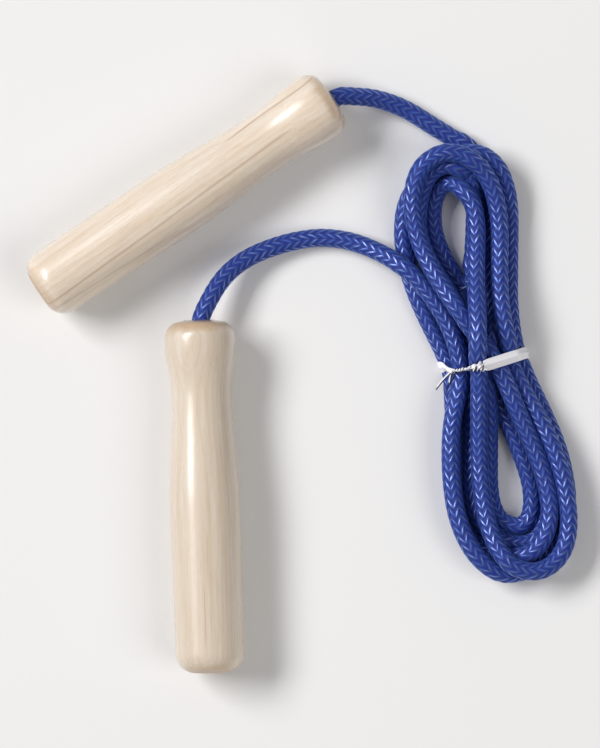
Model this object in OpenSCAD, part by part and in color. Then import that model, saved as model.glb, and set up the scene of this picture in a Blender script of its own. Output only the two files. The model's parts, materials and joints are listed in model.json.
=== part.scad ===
// A skipping rope put away for storage: two turned wooden handles on one braided cord.
// The cord runs from a stopper knot in one handle, through a folded hank held by a wire
// tie, to a stopper knot in the other handle. Each handle turns freely about its knot.
// Millimetres, +Z up. The rope lies on the plane z = 0, the origin is under the middle
// of the two handles, and +Y runs along the handle that lies nearly straight.

/* [Handle outline] */
// Length of a handle
handle_l = 130; // [128:1:136]
// Diameter of the belly and of the head
belly_d = 26; // [25.8:0.1:27]
// Diameter beside the rounded edge of the butt
butt_d = 25.4; // [25:0.1:25.8]
// Diameter at the narrowest point of the neck
neck_d = 22.2; // [20:0.2:24]
// Diameter of the flat face at each end, which the mouth of the bore opens in
flat_d = 10.8; // [10.6:0.2:12]
// Distance from the butt face to where the belly starts to narrow
belly_end = 60; // [56:1:66]
// Distance from the butt face to the narrowest point of the neck
neck_at = 102; // [98:1:104]
// Distance from the butt face to the full diameter of the head
head_at = 122; // [118:1:123]
// Length of the rounded edge at the butt
butt_edge = 7; // [5:0.5:8]
// Length of the rounded edge at the head
head_edge = 6.5; // [5:0.5:7]

/* [Handle bore] */
// Diameter of the knot chamber and of the plug that closes it, turned flush with the butt
chamber_d = 16.6; // [16.4:0.1:17]
// Depth of the knot chamber, from the butt face to its shoulder
chamber_l = 36; // [36:0.5:40]
// Length of the plug
plug_l = 8; // [5:0.5:8]
// Diameter of the bore that the cord runs through
bore_d = 9; // [8.8:0.1:9.6]
// Diameter of the flared mouth of the bore, at the head face
mouth_d = 10.2; // [9.8:0.1:10.4]
// Depth of the flared mouth
mouth_l = 3; // [1:0.5:3]

/* [Cord] */
// Diameter of the cord
cord_d = 6.8; // [6.4:0.1:6.8]
// Largest diameter of a stopper knot
knot_d = 15.6; // [14:0.2:15.6]
// Length of a stopper knot, without its tail
knot_l = 17; // [15:0.5:17]
// Length of the cut tail beyond a stopper knot
tail_l = 8.6; // [5:0.2:8.6]

/* [Washer] */
// Outer diameter of a thrust washer
washer_d = 15.6; // [14:0.2:15.8]
// Diameter of the hole in a thrust washer
washer_hole = 7.6; // [7.6:0.1:8]
// Thickness of a thrust washer
washer_t = 1.2; // [0.8:0.1:1.2]

/* [Hank and tie] */
// Length of the hank
hank_l = 163; // [160:1:168]
// Height of the hank's two lobes
hank_h = 19; // [18:0.5:22]
// Width of the bundle inside the tie
waist_w = 33; // [30:1:34]
// Height of the bundle inside the tie
waist_h = 20; // [17:0.5:21]
// Width of the tie's strip
strip_w = 4.4; // [3:0.2:5]
// Thickness of the tie's strip
strip_t = 0.5; // [0.4:0.1:0.6]
// Diameter of the tie's wire core
wire_d = 0.5; // [0.4:0.1:0.5]

/* [Hidden] */

wood = "#e0c9a6";
plug_wood = "#d4b283";
blue = "#27409b";
steel = "#b9bcc2";
white = "#eeeef4";

// Middle of each handle on the floor, and the direction of its head end
handle_a_at = [0, 66];
handle_a_turn = 33.5;
handle_b_at = [7, -45];
handle_b_turn = 91.9;
axis_z = belly_d / 2;

// Where the straight cord in the bore ends and the bent lead starts, from the butt face
lead_from = handle_l - 8;
// Sideways lean of the cord at the head face, towards the side that it leaves on
lean = 0.6;

// Middle of the tie and the direction of the hank's upper lobe, turned from +Y
hank_at = [110.3, 2.7];
hank_turn = 14;
lobe_r = 24.5;
upper_u = 2.5;
lower_u = -2.5;
lobe_v = hank_l / 2 - lobe_r;
// Half the length of the waist between the two lobes
waist_half = 3;
waist_z = strip_t + waist_h / 2;

// Routes of the two leads, from the head face to inside the hank.
// Each lead drops from the height of the bore to the floor and ends among the strands.
lead_a_points = [
  [57.2, 102.6, 12.6], [62, 102.2, 10.6], [71, 101.4, 6.6], [82, 97.4, 3.9], [92, 90.6, 3.5],
  [101, 84.2, 3.6]
];
lead_b_points = [
  [8.9, 27.6, 11.8], [14.6, 36.4, 9.2], [22, 42.4, 6.8], [32, 46.8, 4.8], [42, 49.5, 3.7],
  [50, 50.4, 3.5], [59, 49.4, 3.6], [68, 46.4, 5], [77, 41.6, 8.5], [84.5, 35.8, 10], [92, 26.6, 9.5]
];
tube_sides = 10;

// The head reaches its full diameter before its rounded edge starts
head_full = min(head_at, handle_l - head_edge - 0.5);

// Radius of a handle at the distance x from its butt face
function ease(f) = (1 - cos(180 * f)) / 2;
function blend(a, b, f) = a + (b - a) * ease(max(0, min(1, f)));
function edge(f) = sqrt(max(0, 1 - f * f));
function handle_r(x) =
  x < butt_edge ? flat_d / 2 + (butt_d - flat_d) / 2 * edge(1 - x / butt_edge) :
  x < belly_end ? blend(butt_d, belly_d, (x - butt_edge) / (belly_end - butt_edge)) / 2 :
  x < neck_at ? blend(belly_d, neck_d, (x - belly_end) / (neck_at - belly_end)) / 2 :
  x < head_full ? blend(neck_d, belly_d, (x - neck_at) / (head_full - neck_at)) / 2 :
  x < handle_l - head_edge ? belly_d / 2 :
  flat_d / 2 + (belly_d - flat_d) / 2 * edge(1 - (handle_l - x) / head_edge);

// Stations along a handle, closer together on the rounded edges
edge_steps = 8;
butt_stations = [for (i = [0:edge_steps]) butt_edge * (1 - cos(90 * i / edge_steps))];
head_stations = [for (i = [edge_steps:-1:0]) handle_l - head_edge * (1 - cos(90 * i / edge_steps))];
body_stations = [for (x = [10:5:belly_end]) x];
neck_stations = [for (i = [1:9]) belly_end + (neck_at - belly_end) * i / 9];
flare_stations = [for (i = [1:6]) neck_at + (head_full - neck_at) * i / 6];
stations = concat(butt_stations, body_stations, neck_stations, flare_stations, head_stations);

// Puts what is drawn along +Z from the butt face onto a handle's place
module on_handle(at, turn) {
  translate([at[0], at[1], axis_z])
    rotate([0, 0, turn])
      translate([-handle_l / 2, 0, 0])
        rotate([0, 90, 0])
          children();
}

// The turned outline, solid, which the plug shares with the handle
module turned_blank() {
  rotate_extrude($fn = 96)
    polygon(concat([[0, 0]], [for (x = stations) [handle_r(x), x]], [[0, handle_l]]));
}

module handle_body() {
  difference() {
    turned_blank();
    translate([0, 0, -1])
      cylinder(d = chamber_d, h = chamber_l + 1, $fn = 64);
    cylinder(d = bore_d, h = handle_l + 1, $fn = 64);
    translate([0, 0, handle_l - mouth_l])
      cylinder(d1 = bore_d, d2 = mouth_d, h = mouth_l, $fn = 64);
    translate([0, 0, handle_l])
      cylinder(d = mouth_d, h = 1, $fn = 64);
  }
}

module butt_plug() {
  intersection() {
    turned_blank();
    cylinder(d = chamber_d, h = plug_l, $fn = 64);
  }
}

module washer() {
  translate([0, 0, chamber_l - washer_t])
    difference() {
      cylinder(d = washer_d, h = washer_t, $fn = 64);
      translate([0, 0, -1])
        cylinder(d = washer_hole, h = washer_t + 2, $fn = 64);
    }
}

// A stopper knot bears on the washer with a flat face and has a cut tail behind it
knot_top = chamber_l - washer_t;
knot_face_r = 5;
module knot() {
  rotate_extrude($fn = 48)
    polygon(concat(
      [[0, knot_top - knot_l]],
      [for (i = [0:12])
        [knot_face_r + (knot_d / 2 - knot_face_r) * sin(15 * i), knot_top - knot_l * (1 + cos(15 * i)) / 2]],
      [[0, knot_top]]
    ));
  translate([0, 0, knot_top - knot_l - tail_l])
    cylinder(d = cord_d, h = tail_l + 1, $fn = 48);
}

module bore_cord() {
  translate([0, 0, knot_top])
    cylinder(d = cord_d, h = lead_from - knot_top, $fn = 48);
}

// A point on a handle's axis at the distance x from its butt face, and its sideways unit
function heading(turn) = [cos(turn), sin(turn), 0];
function on_axis(at, turn, x) = [at[0], at[1], axis_z] + (x - handle_l / 2) * heading(turn);
function rightward(turn) = [sin(turn), -cos(turn), 0];
function lead_start(at, turn) = [
  on_axis(at, turn, lead_from),
  on_axis(at, turn, handle_l) + lean * rightward(turn)
];

// Unit tangent at each point of a route: the first keeps to the handle's axis
function unit(v) = v / norm(v);
function tangent(p, i, first) =
  i == 0 ? first :
  i == len(p) - 1 ? unit(p[i] - p[i - 1]) :
  unit(unit(p[i + 1] - p[i]) + unit(p[i] - p[i - 1]));
function ring(p, t) =
  let (side = unit(cross([0, 0, 1], t)), up = cross(t, side))
  [for (k = [0:tube_sides - 1])
    p + cord_d / 2 * (cos(360 * k / tube_sides) * side + sin(360 * k / tube_sides) * up)];

// A closed tube swept through a route
module tube(p, first) {
  rings = [for (i = [0:len(p) - 1]) each ring(p[i], tangent(p, i, first))];
  last = (len(p) - 1) * tube_sides;
  walls = [
    for (i = [0:len(p) - 2], k = [0:tube_sides - 1])
      let (a = i * tube_sides, n = (k + 1) % tube_sides)
      [a + k, a + tube_sides + k, a + tube_sides + n, a + n]
  ];
  start_face = [for (k = [0:tube_sides - 1]) k];
  end_face = [for (k = [tube_sides - 1:-1:0]) last + k];
  polyhedron(rings, concat([start_face], walls, [end_face]));
}

// Puts what is drawn round the middle of the tie onto the hank's place
module on_hank() {
  translate([hank_at[0], hank_at[1], 0])
    rotate([0, 0, hank_turn])
      children();
}

// One lobe of the hank: a round end and straight sides that draw in to the waist
module lobe(u, way) {
  linear_extrude(height = hank_h) {
    translate([u, way * lobe_v])
      circle(r = lobe_r, $fn = 96);
    polygon([
      [-waist_w / 2, way * waist_half], [u - lobe_r, way * lobe_v],
      [u + lobe_r, way * lobe_v], [waist_w / 2, way * waist_half]
    ]);
  }
}

// The bundle's cross section at the tie, a bar with half-round sides, grown by extra
module waist(extra, length) {
  side = waist_w / 2 - waist_h / 2;
  for (u = [-side, side])
    translate([u, length / 2, waist_z])
      rotate([90, 0, 0])
        cylinder(r = waist_h / 2 + extra, h = length, $fn = 64);
  translate([-side, -length / 2, waist_z - waist_h / 2 - extra])
    cube([2 * side, length, waist_h + 2 * extra]);
}

module hank() {
  lobe(upper_u, 1);
  lobe(lower_u, -1);
  waist(0, 2 * waist_half);
}

// The tie is one strip: a band round the bundle, its two ends twisted together on top
// and two free tails that point down and away from the twist
twist_d = 3;
twist_z = waist_z + waist_h / 2 + strip_t + twist_d / 2 - 0.3;
twist_from = -13.5;
twist_to = -1;
long_tail = 8;
short_tail = 4;
module tail(length, turn, drop) {
  translate([twist_from + 0.5, 0, twist_z])
    rotate([0, drop, turn])
      rotate([55, 0, 0])
        translate([-length, -strip_w / 4, -strip_t / 2])
          cube([length, strip_w / 2, strip_t]);
}
module tail_wire(length, turn, drop) {
  translate([twist_from + 0.5, 0, twist_z])
    rotate([0, drop, turn])
      translate([-length - 1.5, 0, 0])
        rotate([0, 90, 0])
          cylinder(d = wire_d, h = 1.5, $fn = 24);
}

module tie_strip() {
  difference() {
    waist(strip_t, strip_w);
    waist(0, strip_w + 2);
  }
  translate([twist_from, 0, twist_z])
    rotate([0, 90, 0])
      cylinder(d = twist_d, h = twist_to - twist_from, $fn = 32);
  tail(long_tail, 33, -15);
  tail(short_tail, 62, -25);
}

module tie_wire() {
  tail_wire(long_tail, 33, -15);
  tail_wire(short_tail, 62, -25);
}

module handle_a() { color(wood) on_handle(handle_a_at, handle_a_turn) handle_body(); }
module handle_b() { color(wood) on_handle(handle_b_at, handle_b_turn) handle_body(); }
module butt_plug_a() { color(plug_wood) on_handle(handle_a_at, handle_a_turn) butt_plug(); }
module butt_plug_b() { color(plug_wood) on_handle(handle_b_at, handle_b_turn) butt_plug(); }
module washer_a() { color(steel) on_handle(handle_a_at, handle_a_turn) washer(); }
module washer_b() { color(steel) on_handle(handle_b_at, handle_b_turn) washer(); }
module knot_a() { color(blue) on_handle(handle_a_at, handle_a_turn) knot(); }
module knot_b() { color(blue) on_handle(handle_b_at, handle_b_turn) knot(); }
module bore_cord_a() { color(blue) on_handle(handle_a_at, handle_a_turn) bore_cord(); }
module bore_cord_b() { color(blue) on_handle(handle_b_at, handle_b_turn) bore_cord(); }
module lead(at, turn, points) {
  color(blue)
    tube(concat(lead_start(at, turn), points), heading(turn));
}
module lead_a() { lead(handle_a_at, handle_a_turn, lead_a_points); }
module lead_b() { lead(handle_b_at, handle_b_turn, lead_b_points); }

handle_a();
handle_b();
butt_plug_a();
butt_plug_b();
washer_a();
washer_b();
knot_a();
knot_b();
bore_cord_a();
bore_cord_b();
lead_a();
lead_b();
color(blue) on_hank() hank();
color(white) on_hank() tie_strip();
color(steel) on_hank() tie_wire();
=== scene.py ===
"""A skipping rope laid out flat: two turned wooden handles, a braided cord in a tied hank."""
import json
import math

import bpy
import numpy as np
from mathutils import Matrix, Vector


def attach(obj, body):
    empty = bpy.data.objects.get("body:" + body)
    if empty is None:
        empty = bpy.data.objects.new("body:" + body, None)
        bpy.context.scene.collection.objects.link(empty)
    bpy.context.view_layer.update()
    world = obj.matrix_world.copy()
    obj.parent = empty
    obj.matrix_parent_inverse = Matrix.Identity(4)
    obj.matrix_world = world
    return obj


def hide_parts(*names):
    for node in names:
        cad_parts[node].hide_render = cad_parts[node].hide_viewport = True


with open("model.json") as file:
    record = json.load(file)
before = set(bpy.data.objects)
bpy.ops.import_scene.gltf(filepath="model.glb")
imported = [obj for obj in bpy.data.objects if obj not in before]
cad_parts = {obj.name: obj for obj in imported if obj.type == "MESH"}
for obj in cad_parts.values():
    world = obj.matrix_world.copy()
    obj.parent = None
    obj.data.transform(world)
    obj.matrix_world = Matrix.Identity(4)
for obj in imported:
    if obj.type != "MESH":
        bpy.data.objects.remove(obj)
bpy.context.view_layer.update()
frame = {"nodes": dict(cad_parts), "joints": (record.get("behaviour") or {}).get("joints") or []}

# Shapes are worked out in mm and made in metres
MM = 0.001
UP = np.array([0.0, 0.0, 1.0])


# ---------------------------------------------------------------- camera

VIEW_MIDDLE = (42 * MM, 0.0)
VIEW_HEIGHT = 277 * MM
CAMERA_HEIGHT = 2.4
SENSOR = 24.0


def make_camera():
    """A long lens straight above, so that everything keeps its plan size."""
    data = bpy.data.cameras.new("camera")
    data.sensor_fit = "VERTICAL"
    data.sensor_height = SENSOR
    data.lens = SENSOR * CAMERA_HEIGHT / VIEW_HEIGHT
    data.clip_start = 0.01
    data.clip_end = 50
    camera = bpy.data.objects.new("camera", data)
    camera.location = (*VIEW_MIDDLE, CAMERA_HEIGHT)
    bpy.context.scene.collection.objects.link(camera)
    bpy.context.scene.camera = camera


make_camera()


# ---------------------------------------------------------------- the cord's route, in mm

CORD_D = 6.8
LAYER = 7.0
HANDLE_L = 130.0
LEAD_FROM = 122.0
LEAN = 0.6
TIE_AT = np.array([110.3, 2.7])
TIE_TURN = math.radians(14)
ACROSS = np.array([math.cos(TIE_TURN), math.sin(TIE_TURN)])
ALONG = np.array([-math.sin(TIE_TURN), math.cos(TIE_TURN)])

# The leads, from the head face of each handle to the hank: x, y, z
LEAD_A = [
    (57.2, 102.6, 12.6), (62, 102.2, 10.6), (71, 101.4, 6.6), (82, 97.4, 3.9),
    (92, 90.6, 3.5), (101, 84.2, 3.6),
]
LEAD_B = [
    (8.9, 27.6, 11.8), (14.6, 36.4, 9.2), (22, 42.4, 6.8), (32, 46.8, 4.8), (42, 49.5, 3.7),
    (50, 50.4, 3.5), (59, 49.4, 3.6), (68, 46.4, 5.0), (77, 41.6, 8.5),
]
# The hank, from lead b to lead a. Each run starts at its place in the tie, (across, z), and
# goes round one lobe: x, y, layer. Lobes lie on each other, so layers only say what is on top.
RUNS = [
    (None, [(84.5, 35.8, 1.6), (92, 26.6, 2.2), (97, 17.5, 2)]),
    ((-8.8, 9.0), [
        (99.9, -8, 1.6), (97.8, -17, 2), (97.6, -29, 2), (98.3, -42, 2), (100.4, -54, 2),
        (106.2, -65, 2), (116, -71.3, 1.6), (127, -70.8, 1.2), (135.2, -63.8, 1.2),
        (139, -54, 1), (139.6, -42, 1), (137.4, -27.5, 1), (131, -13, 1)]),
    ((12.5, 4.4), [
        (121, 13.5, 1), (119.3, 26, 1), (119.3, 42, 1), (118.9, 57, 1), (117.8, 68, 1),
        (115.3, 76.5, 1), (110.2, 80.8, 0.9), (102.5, 80.2, 0.4), (92.5, 76.2, 0),
        (84.8, 67.6, 0), (80.5, 56, 0.1), (80.9, 44, 0.3), (84.4, 31, 1), (90, 18, 1)]),
    ((-12.3, 4.2), [
        (98.2, -9, 0.4), (99.6, -19, 0), (99.6, -31, 0), (100.4, -43, 0), (102.6, -54, 0.5),
        (108.4, -62.4, 1), (118, -67.6, 1.2), (128, -66, 1.8), (133.2, -58, 2), (134, -47, 2),
        (132, -35, 2), (127, -22, 2), (121, -10, 2)]),
    ((4.2, 13.5), [
        (106.8, 14.5, 1.8), (98.5, 27, 2), (90, 39.5, 2), (85.2, 52, 2.2), (83.9, 64, 2.6),
        (86.6, 76.3, 3), (95.8, 81.8, 3), (106.2, 79.2, 3), (112.8, 69, 3), (115.4, 56, 2.6),
        (115.4, 40, 2.4), (115.4, 25, 2.3), (117, 13, 2)]),
    ((9.2, 9.3), [
        (123.5, -5, 2.6), (129.5, -17, 3), (135, -29, 3), (139, -42, 3), (141, -54, 3),
        (139.2, -66, 3), (131, -73, 3), (121.5, -71.8, 3), (114.6, -63.5, 3), (110.6, -52, 3),
        (108.6, -39, 3), (108.2, -25, 3), (108.4, -11, 2.7)]),
    ((-2.6, 13.5), [
        (107.3, 15, 2.6), (106.6, 29, 2.6), (106.6, 43, 2.4), (107, 55, 1.8), (106, 65, 1.3),
        (100.8, 71.8, 0.8), (94.2, 70.6, 0.3), (91.2, 63, 0), (91.3, 52, 0), (96.2, 41.5, 0),
        (103, 29.5, 0), (110.5, 16, 0)]),
    ((7.2, 3.4), [
        (120, -7, 0), (126, -19, 0), (131.3, -32, 0), (134.6, -45, 0), (133.8, -55, 0),
        (130, -62, 0), (121.8, -65.4, 0), (112, -62.4, 0), (105.6, -53.4, 0), (104.6, -41, 0),
        (105.3, -30, 0), (105.2, -18, 0), (104.8, -8, 0)]),
    ((-5.6, 3.4), [
        (103, 16, 0), (102.3, 29, 0), (105, 41, 0), (106.8, 52, 0), (108.4, 62, 0.2),
        (107.5, 72, 0.4), (101.5, 79, 0.6), (93, 78.4, 0.6), (87, 71.5, 0.6), (85.2, 62, 0.6),
        (85.8, 51, 0.6), (90.5, 40, 0.8), (98.5, 28, 0.8), (106, 16, 0.4)]),
    ((0.9, 3.4), [
        (115.5, -9, 0.4), (120.3, -21, 0.4), (125.4, -34, 0.2), (128.6, -45, 0.1),
        (129, -49, 0), (128, -53.8, 0), (125, -57, 0), (120.9, -58.2, 0), (116.8, -57, 0),
        (113.6, -53.8, 0), (112.6, -49, 0), (112, -42, 0), (111.8, -32, 0), (112, -21, 0.3),
        (112.2, -10, 0.8)]),
    ((1.0, 8.6), [
        (114, 15, 0.8), (113.3, 28, 0.5), (112.7, 42, 0.4), (111.7, 56, 0.3), (109.8, 68, 0.2),
        (106.3, 78, 0.05)]),
]


class Handle:
    """Where the frame holds a handle: its middle, its axis towards the head, and its body."""

    def __init__(self, body):
        joint = next(j for j in frame["joints"] if j["child"] == body)
        self.body = body
        self.middle = np.array(joint["pos_m"]) / MM
        self.axis = np.array(joint["axis"])
        self.right = np.array([self.axis[1], -self.axis[0], 0.0])
        self.side = np.cross(UP, self.axis)

    def point(self, distance):
        """The point on the axis at this distance from the butt face, in mm."""
        return self.middle + (distance - HANDLE_L / 2) * self.axis

    def matrix(self):
        """Local x along the axis from the butt face, in metres."""
        m = Matrix.Identity(4)
        for k, column in enumerate((self.axis, self.side, UP)):
            m.col[k] = (*column, 0)
        m.col[3] = (*(self.point(0) * MM), 1)
        return m


HANDLE_A = Handle("handle_a")
HANDLE_B = Handle("handle_b")


def lead_start(handle):
    """The last point inside the bore and the leaning one at the head face."""
    return [handle.point(LEAD_FROM), handle.point(HANDLE_L) + LEAN * handle.right]


def route_points():
    """All points of the route, from the bore of handle b to the bore of handle a."""
    points = [tuple(p) for p in lead_start(HANDLE_B)] + LEAD_B
    for place, run in RUNS:
        if place:
            x, y = TIE_AT + ACROSS * place[0]
            points.append((x, y, place[1]))
        points += [(x, y, CORD_D / 2 + LAYER * layer) for x, y, layer in run]
    points += LEAD_A[::-1] + [tuple(p) for p in lead_start(HANDLE_A)[::-1]]
    return np.array(points, float)


def between(a, b, start, end, at):
    """The point on the line from a to b, which has a at start and b at end."""
    return ((end - at) * a + (at - start) * b) / (end - start)


def smooth_curve(points, steps):
    """A centripetal Catmull-Rom curve through points."""
    ends = np.vstack([2 * points[0] - points[1], points, 2 * points[-1] - points[-2]])
    curve = []
    for i in range(len(points) - 1):
        p = ends[i:i + 4]
        gaps = [max(np.linalg.norm(p[k + 1] - p[k]), 1e-6) ** 0.5 for k in range(3)]
        t = np.cumsum([0.0] + gaps)
        for s in np.linspace(t[1], t[2], steps, endpoint=False):
            q = [between(p[k], p[k + 1], t[k], t[k + 1], s) for k in range(3)]
            r = [between(q[k], q[k + 1], t[k], t[k + 2], s) for k in range(2)]
            curve.append(between(r[0], r[1], t[1], t[2], s))
    curve.append(points[-1])
    return np.array(curve)


def lengths_along(line):
    """The distance along line to each of its points."""
    return np.r_[0, np.cumsum(np.linalg.norm(np.diff(line, axis=0), axis=1))]


def evenly(curve, step):
    """The curve's points again, at equal distances near step, and that distance."""
    along = lengths_along(curve)
    count = int(round(along[-1] / step))
    at = np.linspace(0, along[-1], count + 1)
    return np.stack([np.interp(at, along, curve[:, k]) for k in range(3)], 1), along[-1] / count


# ---------------------------------------------------------------- settling

# The band holds this far along the hank either way, and draws its cord to this height
BAND_HALF = 4.5
BAND_MIDDLE_Z = 8.4
# Nearest distance of two runs' centrelines, in diameters: anywhere, and squeezed by the band
APART, APART_IN_BAND = 0.97, 0.92
# The leads keep to their route for these lengths, and ease into free cord over EASE
LEAD_B_HELD, LEAD_A_HELD, EASE = 100, 65, 30
FIXED_END = 10
# Shares of the way back to its route that the cord goes in each step, and more on the leads
PULL, LEAD_PULL, LEAD_PULL_Z = 0.16, 0.3, 0.35
# Fall in each step, and the most that the band moves its cord inward, down and up
FALL, BAND_IN, BAND_DOWN, BAND_UP = 0.14, 0.1, 0.3, 0.1
# Shares of an error that are put right at once: in length, in overlap and in level
KEEP, PUSH, LEVEL = 0.25, 0.42, 0.25
# Runs within NEAR diameters are looked for every so many steps. Points fewer than this many
# apart along the cord don't push each other
NEAR, SEARCH_EVERY, NEIGHBOURS = 1.9, 12, 5
# Stiffness over short and longer stretches: points in each of its steps, and its weight
STIFFNESS = ((1, 0.05), (2, 0.045), (3, 0.03))
TURNS, QUICK_TURNS = 420, 150


def ramp(x):
    """A smooth step from 0 to 1."""
    x = np.clip(x, 0, 1)
    return x * x * (3 - 2 * x)


def in_tie(q):
    """Each point's place across the tie, and which points the band holds."""
    r = q[:, :2] - TIE_AT
    return r @ ACROSS, np.abs(r @ ALONG) < BAND_HALF


def straighten(q, fixed):
    """Eases bends out, over short and over longer stretches."""
    for k, stiff in STIFFNESS:
        bend = np.zeros_like(q)
        bend[2 * k:-2 * k] = (
            4 * q[3 * k:-k] - q[4 * k:] - 6 * q[2 * k:-2 * k] + 4 * q[k:-3 * k] - q[:-4 * k]
        )
        bend[fixed] = 0
        q += stiff * bend


def keep_length(q, aim, step, fixed):
    """Brings neighbouring points back to their distance."""
    for _ in range(2):
        link = q[1:] - q[:-1]
        size = np.linalg.norm(link, axis=1, keepdims=True)
        move = KEEP * (size - step) / size * link
        q[:-1] += move
        q[1:] -= move
        q[fixed] = aim[fixed]


def part_runs(q, first, second, held, free):
    """Pushes runs that lie in each other apart, and the cord up to the floor."""
    n = len(q)
    for _ in range(3):
        gap = q[first] - q[second]
        apart = np.sqrt((gap * gap).sum(1))
        least = np.where(held[first] & held[second], APART_IN_BAND * CORD_D, APART * CORD_D)
        hit = apart < least
        a, b = first[hit], second[hit]
        push = (PUSH * (least - apart) / np.maximum(apart, 1e-3))[hit, None] * gap[hit]
        share = np.maximum(1, 0.5 * (np.bincount(a, minlength=n) + np.bincount(b, minlength=n)))
        for k in range(3):
            moved = np.bincount(a, push[:, k], n) - np.bincount(b, push[:, k], n)
            q[:, k] += moved / share * free
        q[:, 2] = np.maximum(q[:, 2], CORD_D / 2)


def settle(q, step, turns):
    """Lets the cord down: gravity, its own stiffness, the floor, the band round the middle of
    the hank, and runs that rest on each other a diameter apart."""
    q, aim = q.copy(), q.copy()
    along = np.arange(len(q)) * step
    hold = np.maximum(
        ramp((LEAD_B_HELD - along) / EASE),
        ramp((along - along[-1] + LEAD_A_HELD) / EASE))
    pull_xy = (PULL + LEAD_PULL * hold)[:, None]
    pull_z = LEAD_PULL_Z * hold
    fixed = (along < FIXED_END) | (along > along[-1] - FIXED_END)
    free = ~fixed
    every = np.triu_indices(len(q), NEIGHBOURS)
    for turn in range(turns):
        if turn % SEARCH_EVERY == 0:
            gap = q[every[0]] - q[every[1]]
            near = (gap * gap).sum(1) < (NEAR * CORD_D) ** 2
            first, second = every[0][near], every[1][near]
        q[free, 2] -= FALL * (1 - hold[free]) * min(1, 5 * (1 - turn / turns))
        straighten(q, fixed)
        q[1:-1, 2] += LEVEL * ((q[2:, 2] + q[:-2, 2]) / 2 - q[1:-1, 2]) * free[1:-1]
        q[:, :2] += pull_xy * (aim - q)[:, :2]
        q[:, 2] += pull_z * (aim - q)[:, 2]
        keep_length(q, aim, step, fixed)
        across, held = in_tie(q)
        q[:, :2] += np.outer(np.clip(-across, -BAND_IN, BAND_IN) * held, ACROSS)
        q[:, 2] += np.clip(BAND_MIDDLE_Z - q[:, 2], -BAND_DOWN, BAND_UP) * held
        part_runs(q, first, second, held, free)
    return q


def cord_centreline():
    """The settled centreline of the free cord, as closely spaced points in mm."""
    start, step = evenly(smooth_curve(route_points(), 12), CORD_D / 2)
    return settle(start, step, TURNS)


# ---------------------------------------------------------------- mesh helpers

def new_mesh(name, vertices, faces, material, smooth=True):
    """A mesh object from vertices in mm and faces."""
    mesh = bpy.data.meshes.new(name)
    mesh.from_pydata([tuple(v) for v in np.asarray(vertices) * MM], [], faces)
    mesh.materials.append(material)
    if smooth:
        mesh.polygons.foreach_set("use_smooth", [True] * len(mesh.polygons))
    mesh.update()
    made = bpy.data.objects.new(name, mesh)
    bpy.context.scene.collection.objects.link(made)
    return made


def unit(vectors):
    """Vectors of length 1 with the same directions."""
    return vectors / np.linalg.norm(vectors, axis=1, keepdims=True)


def frames_along(line):
    """Two unit vectors across the line at each point, which turn as little as they can."""
    tangents = unit(np.gradient(line, axis=0))
    side = np.cross(UP, tangents[0])
    side /= np.linalg.norm(side)
    sides = [side]
    for t in tangents[1:]:
        side = side - t * np.dot(side, t)
        side /= np.linalg.norm(side)
        sides.append(side)
    sides = np.array(sides)
    return sides, np.cross(tangents, sides)


# ---------------------------------------------------------------- braid

# Columns of floats round the cord, mesh steps across each, and mesh rows in each float
COLUMNS = 10
COLUMN_STEPS = 4
ROWS = 5
PITCH = 3.36
RELIEF = 0.26
# Height of a float's rows, from one valley to the next, and of its ends
CROWN = np.array([0.0, 0.8, 1.0, 0.95, 0.62])
DIP = 0.45
# Distance between the points of the centreline that the braid follows
FINE_STEP = 0.4


def braid_mesh(name, line, diameter, material):
    """A braided tube along line. Round the cord are ten columns of yarn floats that slant
    left and right in turn, so each row of the mesh zigzags with them and every float gets a
    crown, two valleys and a dip at each end where it goes under its neighbours."""
    fine, _ = evenly(smooth_curve(line, 6), FINE_STEP)
    along = lengths_along(fine)
    sides, ups = frames_along(fine)
    rows = int(along[-1] / PITCH) * ROWS
    pitch = along[-1] / (rows / ROWS + 1)
    n = COLUMNS * COLUMN_STEPS
    k = np.arange(n)
    part = (k % COLUMN_STEPS) / COLUMN_STEPS
    slant = np.where(k // COLUMN_STEPS % 2 == 0, part, 1 - part)
    angle = 2 * np.pi * k / n
    ends = DIP + (1 - DIP) * np.sin(np.pi * part) ** 0.7
    row = np.arange(rows + 1)
    s = pitch * (row[:, None] / ROWS + slant[None, :])
    height = CROWN[row % ROWS][:, None] * ends[None, :]
    radius = diameter / 2 - RELIEF * (1 - height)
    spot = [np.interp(s, along, fine[:, i]) for i in range(3)]
    a = [np.interp(s, along, sides[:, i]) for i in range(3)]
    b = [np.interp(s, along, ups[:, i]) for i in range(3)]
    vertices = np.stack(
        [spot[i] + radius * (np.cos(angle) * a[i] + np.sin(angle) * b[i]) for i in range(3)], 2
    ).reshape(-1, 3)
    i, j = np.meshgrid(np.arange(rows), np.arange(n), indexing="ij")
    after = (j + 1) % n
    quads = np.stack([i * n + j, i * n + after, (i + 1) * n + after, (i + 1) * n + j], 2)
    faces = [tuple(f) for f in quads.reshape(-1, 4)]
    faces.append(tuple(range(n))[::-1])
    faces.append(tuple(rows * n + m for m in range(n)))
    made = new_mesh(name, vertices, faces, material)
    add_braid_uv(made.data, rows, n)
    return made


def add_braid_uv(mesh, rows, n):
    """UVs that count columns round the cord and floats along it, for the yarn's fibres."""
    corners = np.zeros(len(mesh.loops), int)
    mesh.loops.foreach_get("vertex_index", corners)
    row, k = corners // n, corners % n
    in_last_column = np.zeros(len(corners), bool)
    in_last_column[:rows * n * 4] = np.repeat(np.tile(np.arange(n) == n - 1, rows), 4)
    u = np.where(in_last_column & (k == 0), COLUMNS, k / COLUMN_STEPS)
    uv = np.stack([u, row / ROWS], 1).astype(np.float32)
    mesh.uv_layers.new(name="braid").data.foreach_set("uv", uv.ravel())


# ---------------------------------------------------------------- materials

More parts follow.
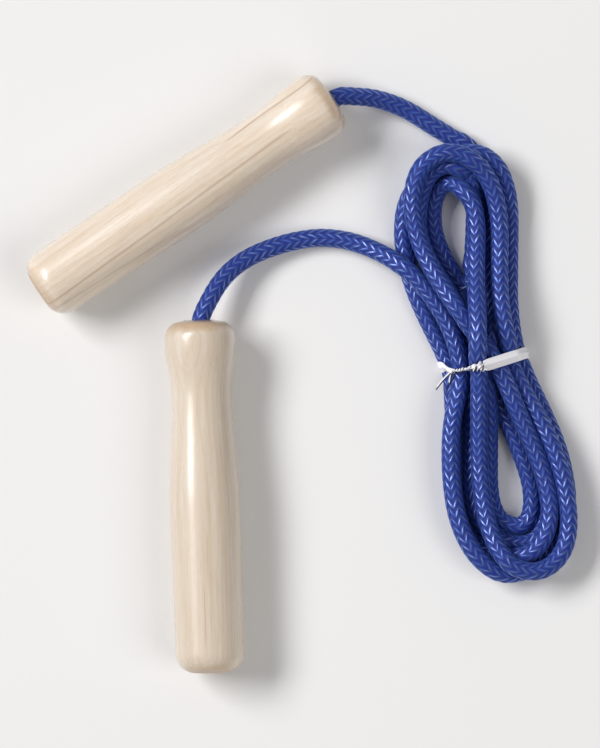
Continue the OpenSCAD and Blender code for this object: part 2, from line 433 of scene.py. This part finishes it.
class Look:
    """A new material and short ways to build its nodes. Wherever a value goes in, it may be a
    number, a colour, a vector or another node's output."""

    def __init__(self, name):
        self.material = bpy.data.materials.new(name)
        self.material.use_nodes = True
        self.tree = self.material.node_tree
        self.shader = self.tree.nodes["Principled BSDF"]

    def feed(self, socket, value):
        """Links an output to a socket, or sets the socket."""
        if isinstance(value, bpy.types.NodeSocket):
            self.tree.links.new(value, socket)
        elif socket.type == "RGBA":
            socket.default_value = (*value, 1)
        else:
            socket.default_value = value

    def node(self, kind, values=None, **settings):
        """A node with its inputs set from values, and its own settings."""
        made = self.tree.nodes.new("ShaderNode" + kind)
        for key, value in settings.items():
            setattr(made, key, value)
        for key, value in (values or {}).items():
            self.feed(made.inputs[key], value)
        return made

    def set(self, values):
        """Sets the shader's sockets by name."""
        for key, value in values.items():
            self.feed(self.shader.inputs[key], value)

    def calc(self, operation, *values):
        return self.node("Math", dict(enumerate(values)), operation=operation).outputs[0]

    def plus(self, a, b):
        return self.calc("ADD", a, b)

    def minus(self, a, b):
        return self.calc("SUBTRACT", a, b)

    def times(self, a, b):
        return self.calc("MULTIPLY", a, b)

    def clamp(self, value, most):
        """The value, kept from 0 to most."""
        return self.calc("MINIMUM", self.calc("MAXIMUM", value, 0.0), most)

    def band(self, off, width):
        """1 in the middle of a band, 0 at this distance from it and beyond."""
        beside = self.calc("DIVIDE", self.calc("ABSOLUTE", off), width)
        return self.calc("MAXIMUM", self.minus(1.0, beside), 0.0)

    def spread(self, value, gain):
        """A noise value with its contrast raised, kept between 0 and 1."""
        return self.clamp(self.plus(self.times(self.minus(value, 0.5), gain), 0.5), 1.0)

    def mix(self, factor, a, b):
        """From colour a to colour b."""
        return self.node("Mix", {0: factor, 6: a, 7: b}, data_type="RGBA").outputs[2]

    def noise(self, point, scale, detail, roughness=0.5):
        values = {"Vector": point, "Scale": scale, "Detail": detail, "Roughness": roughness}
        return self.node("TexNoise", values).outputs[0]

    def place(self, kind="Object"):
        return self.node("TexCoord").outputs[kind]

    def drawn_out(self, point, share):
        """The point with its x shrunk, so that a pattern is long along x."""
        return self.node("Mapping", {"Vector": point, "Scale": (share, 1, 1)}).outputs[0]

    def split(self, vector):
        return self.node("SeparateXYZ", {0: vector}).outputs

    def dot(self, point, direction):
        values = {0: point, 1: direction}
        return self.node("VectorMath", values, operation="DOT_PRODUCT").outputs["Value"]

    def bump(self, height, strength, depth, *sockets):
        """Raises the surface with height, by depth in metres."""
        values = {"Height": height, "Strength": strength, "Distance": depth}
        made = self.node("Bump", values).outputs[0]
        for socket in sockets or ("Normal",):
            self.feed(self.shader.inputs[socket], made)


# The valley colour is painted shade, the darkening where the floats dip between their neighbours.
# The crown colour is the yarn's own blue.
PAINTED_VALLEY_SHADE, YARN_CROWN = (0.024, 0.030, 0.20), (0.024, 0.080, 0.40)
YARN_LINE = (0.37, 0.48, 0.92)
YARN_SHEEN = (0.28, 0.55, 1.0)
# Where across a float its bright line lies, how far it wanders, and half its width
LINE_AT, LINE_WANDER, LINE_HALF = 0.28, 0.34, 0.15
FILAMENTS = 8
LATE_WOOD, DARK_RING, END_GRAIN = (0.56, 0.39, 0.24), (0.36, 0.19, 0.08), (0.52, 0.31, 0.14)
THIN_GRAIN, FLECK = (0.60, 0.44, 0.30), (0.58, 0.44, 0.31)


def cord_material():
    """Blue yarn with painted shade: darker and more violet in the valleys between the floats and
    towards each float's ends. Along the crown of each float runs one line of glossy filaments
    that takes the light, on some floats more than on others."""
    look = Look("braided_cord")
    counts = look.split(look.node("UVMap", uv_map="braid").outputs[0])
    u, v = counts[0], counts[1]
    part = look.calc("FRACT", u)
    across = look.calc("FRACT", v)
    tip = look.calc("MAXIMUM", look.calc("SINE", look.times(part, math.pi)), 0.0)
    ridge = look.calc("SINE", look.times(across, math.pi))
    crown = look.times(ridge, look.calc("POWER", tip, 0.5))
    patch = look.noise(look.place(), 700.0, 3.0)
    cell = look.node("CombineXYZ", {0: look.calc("FLOOR", u), 1: look.calc("FLOOR", v)})
    chance = look.node("TexWhiteNoise", {"Vector": cell.outputs[0]}).outputs["Value"]
    off = look.minus(look.minus(across, LINE_AT), look.times(patch, LINE_WANDER))
    line = look.times(look.band(off, LINE_HALF), look.calc("POWER", tip, 1.1))
    line = look.calc("POWER", line, 0.6)
    share = look.plus(look.times(chance, 1.15), 0.2)
    line = look.calc("MINIMUM", look.times(line, share), 1.0)
    # Painted shade: the colour goes to the dark valley colour where the crown mask falls off,
    # between floats and at their ends.
    yarn = look.mix(crown, PAINTED_VALLEY_SHADE, YARN_CROWN)
    look.set({
        "Base Color": look.mix(line, yarn, YARN_LINE),
        "Metallic": look.calc("MINIMUM", look.times(line, 2.5), 1.0),
        "Specular IOR Level": 0.2,
        "Roughness": 0.43,
        "Sheen Weight": 0.3,
        "Sheen Roughness": 0.4,
        "Sheen Tint": YARN_SHEEN,
    })
    fibres = look.calc("SINE", look.times(v, 2 * math.pi * FILAMENTS))
    look.bump(look.plus(fibres, look.times(patch, 1.5)), 0.35, 0.00005)
    return look.material


def wood_material(name, across, spacing, contrast, pale, warm, lines):
    """Pale lacquered birch in a handle's own axes. Growth rings are nearly flat sheets that lie
    across the given direction, so the turned shape cuts them into long lines and arcs. Each
    line is one dark ring: its direction and place across, where along the handle it starts and
    ends, its width and its strength. Colours run from warm to pale."""
    look = Look(name)
    point = look.place()
    short = look.drawn_out(point, 0.3)
    long = look.drawn_out(point, 0.045)
    wander = look.noise(short, 32.0, 2.0)
    fleck = look.noise(short, 1300.0, 3.0, 0.6)
    grain = look.noise(long, 2300.0, 4.0, 0.6)
    broad = look.noise(long, 330.0, 3.0)
    mottle = look.noise(point, 60.0, 3.0)

    drift = look.times(look.minus(wander, 0.5), 0.004)
    sheet = look.plus(look.dot(point, across), drift)
    ring = look.calc("FRACT", look.times(sheet, 1 / spacing))
    ring_end = look.minus(1.0, look.calc("POWER", ring, 24.0))
    late = look.times(look.times(look.calc("POWER", ring, 3.0), ring_end), contrast)
    thin = look.calc("MAXIMUM", look.times(look.minus(grain, 0.5), 1.9), 0.0)
    flecks = look.times(look.spread(fleck, 3.0), 0.15)
    middling = tuple(0.5 * (a + b) for a, b in zip(warm, pale))

    colour = look.mix(look.spread(broad, 2.4), warm, pale)
    colour = look.mix(look.times(mottle, 0.4), colour, middling)
    colour = look.mix(late, colour, LATE_WOOD)
    colour = look.mix(thin, colour, THIN_GRAIN)
    colour = look.mix(flecks, colour, FLECK)
    for line in lines:
        colour = add_line(look, point, wander, colour, line)
    end_grain = look.calc("ABSOLUTE", look.split(look.place("Normal"))[0])
    end_grain = look.minus(end_grain, look.times(mottle, 0.9))
    end_grain = look.clamp(look.times(end_grain, 1.6), 0.5)
    look.set({
        "Base Color": look.mix(end_grain, colour, END_GRAIN),
        "Roughness": 0.42,
        "Coat Weight": 1.0,
        "Coat Roughness": 0.22,
    })
    values = {"Vector": point, "Scale": 430.0, "Distortion": 1.5, "Detail": 2.0}
    turning = look.node("TexWave", values)
    height = look.plus(grain, look.times(turning.outputs["Fac"], 0.25))
    look.bump(height, 0.3, 0.00008, "Normal", "Coat Normal")
    return look.material


def add_line(look, point, wander, colour, line):
    """One dark ring in the upper half of a handle."""
    across, at, start, end, width, strength = line
    where = look.split(point)
    x, z = where[0], where[2]
    waver = look.times(look.minus(wander, 0.5), 0.0012)
    near = look.band(look.minus(look.plus(look.dot(point, across), waver), at), width)
    rise = look.times(look.minus(x, start), 60.0)
    fall = look.times(look.minus(end, x), 60.0)
    inside = look.clamp(look.calc("MINIMUM", rise, fall), strength)
    upper = look.calc("GREATER_THAN", z, 0.0)
    return look.mix(look.times(look.times(near, inside), upper), colour, DARK_RING)


def plastic_material():
    """The tie's white plastic, a little blue, with faint crumples."""
    look = Look("tie_plastic")
    crumple = look.noise(look.place(), 700.0, 3.0)
    look.set({
        "Base Color": look.mix(crumple, (0.93, 0.925, 1.0), (0.98, 0.98, 1.0)),
        "Roughness": 0.3,
        "Coat Weight": 0.3,
    })
    look.bump(crumple, 0.35, 0.0002)
    return look.material


def metal_material(name, colour, rough):
    """Plated steel with fine marks."""
    look = Look(name)
    marks = look.noise(look.place(), 1500.0, 4.0)
    dull = tuple(0.6 * c for c in colour)
    look.set({"Base Color": look.mix(marks, dull, colour), "Metallic": 1.0, "Roughness": rough})
    look.bump(marks, 0.2, 0.00005)
    return look.material


def plug_material():
    """End grain of the plug: rings round a point off its middle."""
    look = Look("plug_wood")
    values = {"Vector": look.place("Generated"), "Scale": 3.5, "Distortion": 3.0, "Detail": 3.0}
    rings = look.node("TexWave", values, wave_type="RINGS", rings_direction="SPHERICAL")
    pores = look.noise(look.place(), 2500.0, 3.0)
    colour = look.mix(rings.outputs["Fac"], (0.56, 0.36, 0.18), (0.70, 0.50, 0.30))
    look.set({
        "Base Color": look.mix(look.times(pores, 0.5), colour, (0.40, 0.24, 0.11)),
        "Roughness": 0.45,
        "Coat Weight": 0.4,
        "Coat Roughness": 0.25,
    })
    look.bump(pores, 0.3, 0.0001)
    return look.material


def floor_material():
    """A matt pale floor."""
    look = Look("pale_floor")
    mottle = look.noise(look.place(), 3.0, 2.0)
    look.set({
        "Base Color": look.mix(mottle, (0.84, 0.84, 0.84), (0.86, 0.86, 0.86)),
        "Roughness": 0.9,
        "Specular IOR Level": 0.1,
    })
    return look.material


# ---------------------------------------------------------------- the cord

CORD_LOOK = cord_material()
centreline = cord_centreline()
cord = braid_mesh("cord", centreline, CORD_D, CORD_LOOK)
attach(cord, "cord")
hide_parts("lead_a", "lead_b", "hank")


# ---------------------------------------------------------------- knots

# The washer bears on the chamber's shoulder, and the knot on the washer. Behind the knot
# is its cut tail
SHOULDER = 36.0
WASHER_T = 1.2
KNOT_L = 17.0
KNOT_CORD_D = 6.4
TAIL = 8.6


def knot_line():
    """An overhand knot drawn up tight, along x from 0, with the cord on the axis at both ends."""
    t = np.linspace(0, 1, 90)
    turn = 2 * np.pi * t
    swell = np.sin(np.pi * t) ** 0.8
    x = KNOT_L * t + 5.2 * np.sin(2 * turn) * swell
    y = 4.2 * np.sin(turn) * swell + 1.2 * np.sin(3 * turn) * swell
    z = 4.2 * (1 - np.cos(turn)) / 2 * np.cos(np.pi * t) + 2.4 * np.sin(2 * turn) * swell
    return np.stack([x, y, z], 1)


def make_knot(handle, suffix):
    """The stopper knot in a handle's chamber, its cut tail, and the cord through the bore."""
    top = SHOULDER - WASHER_T
    bottom = top - KNOT_L
    local = knot_line()
    local[:, 0] = bottom + local[:, 0]
    tail_end = [[bottom - TAIL, 0, 0], [bottom - 3, 0, 0]]
    into_bore = [[top + x, 0, 0] for x in (3, 20, 40, 60)] + [[LEAD_FROM, 0, 0]]
    line = np.vstack([tail_end, local[4:-4], into_bore])
    line = handle.point(0) + line @ np.array([handle.axis, handle.side, UP])
    knot = braid_mesh("knot_" + suffix + "_cord", line, KNOT_CORD_D, CORD_LOOK)
    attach(knot, "cord")
    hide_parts("knot_" + suffix, "bore_cord_" + suffix)


make_knot(HANDLE_A, "a")
make_knot(HANDLE_B, "b")


# ---------------------------------------------------------------- handles

# Radii of the outline, and where it changes, from the butt face
BELLY_R, BUTT_R, NECK_R, FLAT_R = 13.0, 12.7, 11.1, 5.4
BELLY_END, NECK_AT, HEAD_AT = 60.0, 102.0, 122.0
BUTT_EDGE, HEAD_EDGE = 7.0, 6.5
# Inside. The chamber's shoulder stays 0.05 mm clear of the washer that bears on it
CHAMBER_R, CHAMBER_L, BORE_R, MOUTH_R, MOUTH_L = 8.3, 36.05, 4.5, 5.1, 3.0
AROUND = 160


def blend(a, b, f):
    """From a to b as f goes from 0 to 1, level at both ends."""
    return a + (b - a) * (1 - math.cos(math.pi * max(0.0, min(1.0, f)))) / 2


def rounded(radius, inward, edge):
    """The radius of an end's rounded edge, this far in from its face."""
    return FLAT_R + (radius - FLAT_R) * math.sqrt(max(0, 1 - (1 - inward / edge) ** 2))


def handle_radius(x):
    """The turned outline: belly, neck and head, with a rounded edge at each end."""
    if x < BUTT_EDGE:
        return rounded(BUTT_R, x, BUTT_EDGE)
    if x < BELLY_END:
        return blend(BUTT_R, BELLY_R, (x - BUTT_EDGE) / (BELLY_END - BUTT_EDGE))
    if x < NECK_AT:
        return blend(BELLY_R, NECK_R, (x - BELLY_END) / (NECK_AT - BELLY_END))
    if x < HEAD_AT:
        return blend(NECK_R, BELLY_R, (x - NECK_AT) / (HEAD_AT - NECK_AT))
    if x < HANDLE_L - HEAD_EDGE:
        return BELLY_R
    return rounded(BELLY_R, HANDLE_L - x, HEAD_EDGE)


def handle_outline():
    """The closed section of a handle, from the plug's joint over the outside to the bore."""
    quarter = [math.radians(7.5 * k) for k in range(13)]
    outside = [BUTT_EDGE * (1 - math.cos(a)) for a in quarter]
    outside += list(np.linspace(BUTT_EDGE, HANDLE_L - HEAD_EDGE, 90)[1:-1])
    outside += [HANDLE_L - HEAD_EDGE * (1 - math.cos(a)) for a in quarter[::-1]]
    rim = next(x for x in np.linspace(0, 2, 401) if handle_radius(x) > CHAMBER_R)
    section = [(rim + 0.15, CHAMBER_R), (rim + 0.02, CHAMBER_R + 0.1)]
    section += [(x, handle_radius(x)) for x in outside if handle_radius(x) > CHAMBER_R + 0.2]
    section += [(HANDLE_L - 0.05, MOUTH_R + 0.15), (HANDLE_L - 0.25, MOUTH_R)]
    section += [
        (HANDLE_L - MOUTH_L * math.sin(a), BORE_R + (MOUTH_R - BORE_R) * (1 - math.sin(a)))
        for a in quarter[2:]]
    section += [(x, BORE_R) for x in np.linspace(HANDLE_L - MOUTH_L, CHAMBER_L, 12)[1:]]
    section += [(CHAMBER_L, CHAMBER_R - 0.3), (CHAMBER_L - 0.3, CHAMBER_R)]
    section += [(x, CHAMBER_R) for x in (24.0, 12.0)]
    return section


def make_handle(handle, material):
    """The section turned round the handle's axis, as one closed shell."""
    section = handle_outline()
    angles = [2 * math.pi * k / AROUND for k in range(AROUND)]
    vertices = [(x, r * math.cos(a), r * math.sin(a)) for x, r in section for a in angles]
    rings = len(section)
    faces = []
    for i in range(rings):
        here, there = i * AROUND, (i + 1) % rings * AROUND
        for k in range(AROUND):
            after = (k + 1) % AROUND
            faces.append((here + k, here + after, there + after, there + k))
    piece = new_mesh(handle.body + "_turned", vertices, faces, material)
    piece.data.flip_normals()
    piece.matrix_world = handle.matrix()
    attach(piece, handle.body)
    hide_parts(handle.body)


make_handle(HANDLE_A, wood_material(
    "birch_a", (-0.046, 1.0, 0.15), 0.0023, 0.24, (0.89, 0.80, 0.70), (0.77, 0.63, 0.48), [
        ((-0.046, 1.0, 0.15), 0.0051, 0.084, 0.140, 0.00045, 0.6),
        ((-0.046, 1.0, 0.15), -0.0048, -0.010, 0.112, 0.0007, 0.4),
        ((0.02, 1.0, 0.1), -0.0078, -0.010, 0.060, 0.0005, 0.3),
    ]))
make_handle(HANDLE_B, wood_material(
    "birch_b", (0.006, 0.375, 0.927), 0.0013, 0.28, (0.80, 0.71, 0.61), (0.66, 0.55, 0.42), [
        ((0.0, 1.0, 0.0), 0.0012, 0.008, 0.034, 0.0003, 0.35),
        ((0.0, 1.0, 0.0), -0.0004, 0.030, 0.052, 0.0003, 0.2),
    ]))


# ---------------------------------------------------------------- CAD nodes that stay

PLUG_LOOK = plug_material()
WASHER_LOOK = metal_material("zinc_plate", (0.62, 0.63, 0.66), 0.32)
for suffix in "ab":
    for name, look in (("butt_plug_", PLUG_LOOK), ("washer_", WASHER_LOOK)):
        kept = frame["nodes"][name + suffix]
        kept.data.materials.clear()
        kept.data.materials.append(look)


# ---------------------------------------------------------------- the wire tie

# The strip: its width, thickness and rounded edges, and the ridge over its wire
STRIP_W, STRIP_T, STRIP_EDGE = 4.4, 0.34, 0.15
RIDGE_W, RIDGE_SHOULDER, RIDGE_TOP = 0.75, 0.22, 0.3
# Places along the hank, from the tie's middle, where the band has to clear the cord
BAND_PLANES = (-1.8, 0, 1.8, 3.4)
# Across the tie: where the twist starts and ends, and where it has drawn in to its thinnest
TWIST_FROM, TWIST_TO, THIN_FROM = -1.0, -12.6, -6.4
TWIST_STEPS = 110
# The folds of the twisted strip: where round the core each starts, and its share of the width
FOLDS = ((0.4, 1.0), (1.9, 0.85), (2.7, 0.6))
# The two tails: length, direction as (across, along, z), and width
TAILS = ((8.6, (-0.80, -0.52, -0.36), 1.3), (4.6, (-0.42, -0.86, -0.4), 1.1))
TAIL_STEPS = 16
# The wire's radius, there and at its tip, and how far it stands out of the strip's end
WIRE_R, WIRE_TIP_R, WIRE_BARE = 0.27, 0.22, 1.1


def tie_drift(u, on_top):
    """How far along the hank the strip lies at this place across: the twist pulls it down."""
    if not on_top:
        return 1.3 + 2.4 * (16 - u) / 32
    if u > TWIST_FROM:
        return 0.4 + 0.058 * (u - TWIST_FROM)
    if u > TWIST_TO:
        return 0.4 + 0.08 * (TWIST_FROM - u)
    return min(3.7, 1.33 + 0.65 * (TWIST_TO - u))


def to_world(points):
    """Across, along, z about the middle of the tie, to x, y, z."""
    points = np.asarray(points, float)
    flat = TIE_AT + np.outer(points[:, 0], ACROSS) + np.outer(points[:, 1], ALONG)
    return np.column_stack([flat, points[:, 2]])


def directions(vectors):
    """Directions given as across, along, z."""
    return to_world(vectors) - to_world(np.zeros((len(vectors), 3)))


def strip_section(width):
    """Half round edges and a ridge over the wire, as (sideways, out) points."""
    w = width / 2
    ridge = min(RIDGE_W / 2, 0.6 * w)
    t = STRIP_T / 2
    return [
        (-w, 0), (-w + STRIP_EDGE, t), (-ridge, t), (-ridge * 0.6, t + RIDGE_SHOULDER),
        (0, t + RIDGE_TOP), (ridge * 0.6, t + RIDGE_SHOULDER), (ridge, t), (w - STRIP_EDGE, t),
        (w, 0), (w - STRIP_EDGE, -t), (0, -t - 0.1), (-w + STRIP_EDGE, -t)]


def strip(line, outward, widths):
    """Vertices and faces of a strip of the section above along line."""
    tangent = unit(np.gradient(line, axis=0))
    outward = unit(outward - tangent * (outward * tangent).sum(1, keepdims=True))
    side = np.cross(tangent, outward)
    sections = [strip_section(width) for width in widths]
    vertices = [
        line[i] + a * side[i] + b * outward[i]
        for i in range(len(line)) for a, b in sections[i]]
    n, m = len(sections[0]), len(line)
    faces = [
        (i * n + k, i * n + (k + 1) % n, (i + 1) * n + (k + 1) % n, (i + 1) * n + k)
        for i in range(m - 1) for k in range(n)]
    faces += [tuple(range(n))[::-1], tuple((m - 1) * n + k for k in range(n))]
    return vertices, faces


def crossings(line, drift):
    """Where the cord's runs cross the tie, this far along the hank from it: their (across, z)."""
    r = line[:, :2] - TIE_AT
    across, along = r @ ACROSS, r @ ALONG - drift
    places = []
    for i in range(len(line) - 1):
        if along[i] * along[i + 1] < 0 and abs(across[i]) < 25:
            f = along[i] / (along[i] - along[i + 1])
            u = (1 - f) * across[i] + f * across[i + 1]
            z = (1 - f) * line[i, 2] + f * line[i + 1, 2]
            places.append((u, z))
    return places


def half_hull(points):
    """One side of the convex hull of sorted points, without its last point."""
    kept = []
    for p in points:
        while len(kept) > 1 and (
            (kept[-1][0] - kept[-2][0]) * (p[1] - kept[-2][1])
            - (kept[-1][1] - kept[-2][1]) * (p[0] - kept[-2][0])) <= 0:
            kept.pop()
        kept.append(p)
    return kept[:-1]


def hull_round(places, radius):
    """The tight loop round circles at places, as evenly spaced points in order."""
    ring = sorted({
        (x + radius * math.cos(a), z + radius * math.sin(a))
        for x, z in places for a in np.linspace(0, 2 * math.pi, 48, endpoint=False)})
    loop = np.array(half_hull(ring) + half_hull(ring[::-1]))
    loop = np.vstack([loop, loop[:1]])
    along = lengths_along(loop)
    at = np.linspace(0, along[-1], 121)[:-1]
    return np.stack([np.interp(at, along, loop[:, k]) for k in range(2)], 1)


def band_path(loop, middle):
    """The strip from the twist's right end, over, under and up again to its left end."""
    right = [i for i, (u, z) in enumerate(loop) if z > middle[1] and u > TWIST_FROM]
    start = min(right, key=lambda i: loop[i][0])
    kept = []
    for k in range(len(loop)):
        u, z = loop[(start - k) % len(loop)]
        on_top = z > middle[1]
        if k > len(loop) // 2 and on_top and u > TWIST_TO + 1.5:
            break
        kept.append((u, tie_drift(u, on_top), z))
    return np.array(kept)


def smoothed(values, times):
    """The same row of points with its corners eased, ends kept."""
    values = np.array(values, float)
    for _ in range(times):
        values[1:-1] = (values[:-2] + 2 * values[1:-1] + values[2:]) / 4
    return values


def make_band(loop, middle):
    """The flat strip round the bundle, which narrows towards the twist."""
    band = smoothed(band_path(loop, middle), 2)
    out = np.column_stack([band[:, 0] - middle[0], np.zeros(len(band)), band[:, 2] - middle[1]])
    widths = np.full(len(band), STRIP_W)
    widths[:4] = (3.6, 4.0, 4.2, 4.3)
    widths[-12:] = 1.7 + (STRIP_W - 1.7) * np.linspace(1, 0, 12)
    return strip(to_world(band), directions(out), widths)


def make_twist(loop, middle):
    """The twisted ends on top of the bundle: the folds of strip, the wire that winds out of
    them, and the height of the twist's end."""
    upper = loop[loop[:, 1] > middle[1]]
    upper = upper[np.argsort(upper[:, 0])]
    t = np.linspace(0, 1, TWIST_STEPS)
    u = TWIST_FROM + 0.3 + (TWIST_TO - TWIST_FROM) * t
    wide = np.clip((u - THIN_FROM) / (TWIST_FROM - THIN_FROM), 0, 1) ** 0.6
    rise = smoothed(np.interp(u, upper[:, 0], upper[:, 1]), 20) + 0.75 + 0.55 * wide
    drift = [tie_drift(a, True) + 0.16 * math.sin(2.1 * a) for a in u]
    core = to_world(np.column_stack([u, drift, rise]))
    turns = 2 * math.pi * (1.1 * t + 2.6 * t ** 2)
    folds = []
    for phase, share in FOLDS:
        angle = phase + turns + 0.35 * np.sin(37 * t + 5 * phase)
        lean = 0.25 * np.sin(29 * t + phase)
        outward = directions(np.column_stack([lean, np.cos(angle), np.sin(angle)]))
        crumple = 1 + 0.16 * np.sin(61 * t + 3 * phase)
        folds.append(strip(core, outward, share * crumple * (1.35 + 2.5 * wide)))
    swing = 2.3 * turns + 1.0
    reach = (0.62 + 1.0 * wide)[:, None]
    offsets = np.column_stack([np.zeros(TWIST_STEPS), np.cos(swing), np.sin(swing)]) * reach
    return folds, core + directions(offsets), rise[-1]


def make_tails(height):
    """The two loose ends beyond the twist, and the wire along each."""
    k = np.linspace(0, 1, TAIL_STEPS)
    nothing = np.zeros(TAIL_STEPS)
    bow = np.column_stack([nothing, 0.35 * np.sin(math.pi * k), 0.5 * np.sin(math.pi * k)])
    angle = 0.15 + 0.5 * k
    outward = directions(np.column_stack([nothing - 0.4, np.cos(angle), np.sin(angle)]))
    start = np.array([TWIST_TO + 0.4, tie_drift(TWIST_TO, True), height])
    beside = 0.4 * directions([(0.3, -0.4, 0.87)])[0]
    tails, wires = [], []
    for length, aim, width in TAILS:
        aim = np.array(aim) / np.linalg.norm(aim)
        line = to_world(start + np.outer(k * length, aim) + bow)
        tails.append(strip(line, outward, width * (0.8 + 0.2 * k)))
        wires.append(line + beside)
    return tails, wires


def make_tie():
    """The band round the bundle, its two ends twisted together on top, and the two tails."""
    places = [place for drift in BAND_PLANES for place in crossings(centreline, drift)]
    loop = hull_round(places, CORD_D / 2 + STRIP_T / 2 + 0.05)
    loop[:, 1] = np.maximum(loop[:, 1], STRIP_T / 2 + 0.12)
    middle = loop.mean(0)
    folds, winding, height = make_twist(loop, middle)
    tails, wires = make_tails(height)
    vertices, faces = [], []
    for part_vertices, part_faces in [make_band(loop, middle)] + folds + tails:
        faces += [tuple(i + len(vertices) for i in f) for f in part_faces]
        vertices += part_vertices
    tie = new_mesh("tie", vertices, faces, plastic_material())
    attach(tie, "cord")
    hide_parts("tie_strip")
    make_wire_ends(wires + [winding])


def make_wire_ends(ends):
    """The wire core: bare along each tail and a little beyond it, and out between the twists."""
    vertices, faces = [], []
    around = 12
    angles = [2 * math.pi * k / around for k in range(around)]
    for line in ends:
        tip = line[-1] + WIRE_BARE * (line[-1] - line[-3]) / np.linalg.norm(line[-1] - line[-3])
        line = np.vstack([line[2:], tip])
        sides, ups = frames_along(line)
        base = len(vertices)
        for i, point in enumerate(line):
            radius = WIRE_R if i < len(line) - 1 else WIRE_TIP_R
            for a in angles:
                vertices.append(point + radius * (math.cos(a) * sides[i] + math.sin(a) * ups[i]))
        for i in range(len(line) - 1):
            for k in range(around):
                a, b = base + i * around, (k + 1) % around
                faces.append((a + k, a + b, a + around + b, a + around + k))
        faces.append(tuple(base + k for k in range(around))[::-1])
        faces.append(tuple(base + (len(line) - 1) * around + k for k in range(around)))
    look = metal_material("tie_wire", (0.14, 0.145, 0.16), 0.35)
    wire = new_mesh("tie_wire_ends", vertices, faces, look)
    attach(wire, "cord")
    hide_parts("tie_wire")


make_tie()


# ---------------------------------------------------------------- floor and light

FLOOR_HALF = 6000.0
LIGHTS_AIM = Vector((0.05, 0, 0))


def make_floor():
    """One large flat sheet."""
    h = FLOOR_HALF
    corners = [(-h, -h, 0), (h, -h, 0), (h, h, 0), (-h, h, 0)]
    floor = new_mesh("floor", corners, [(0, 1, 2, 3)], floor_material(), smooth=False)


def make_light(name, place, size, power, colour, mirrored=True):
    """A soft box. One that is not mirrored lights the things but leaves no reflection in them."""
    data = bpy.data.lights.new(name, "AREA")
    data.shape = "RECTANGLE"
    data.size, data.size_y = size
    data.energy = power
    data.color = colour
    light = bpy.data.objects.new(name, data)
    light.location = place
    light.visible_glossy = mirrored
    light.rotation_euler = (LIGHTS_AIM - Vector(place)).to_track_quat("-Z", "Y").to_euler()
    bpy.context.scene.collection.objects.link(light)


def make_world():
    """Even light from all round."""
    world = bpy.data.worlds.new("studio")
    world.use_nodes = True
    background = world.node_tree.nodes["Background"]
    background.inputs["Color"].default_value = (0.98, 0.985, 1.0, 1)
    background.inputs["Strength"].default_value = 0.235
    bpy.context.scene.world = world


make_floor()
make_world()
make_light("key", (-2.75, 1.2, 2.9), (2.4, 1.25), 153.0, (1.0, 0.99, 0.99))
make_light("fill", (3.0, -1.2, 3.6), (3.0, 3.0), 74.0, (1.0, 0.97, 0.92), mirrored=False)
bpy.context.scene.view_settings.view_transform = "Standard"
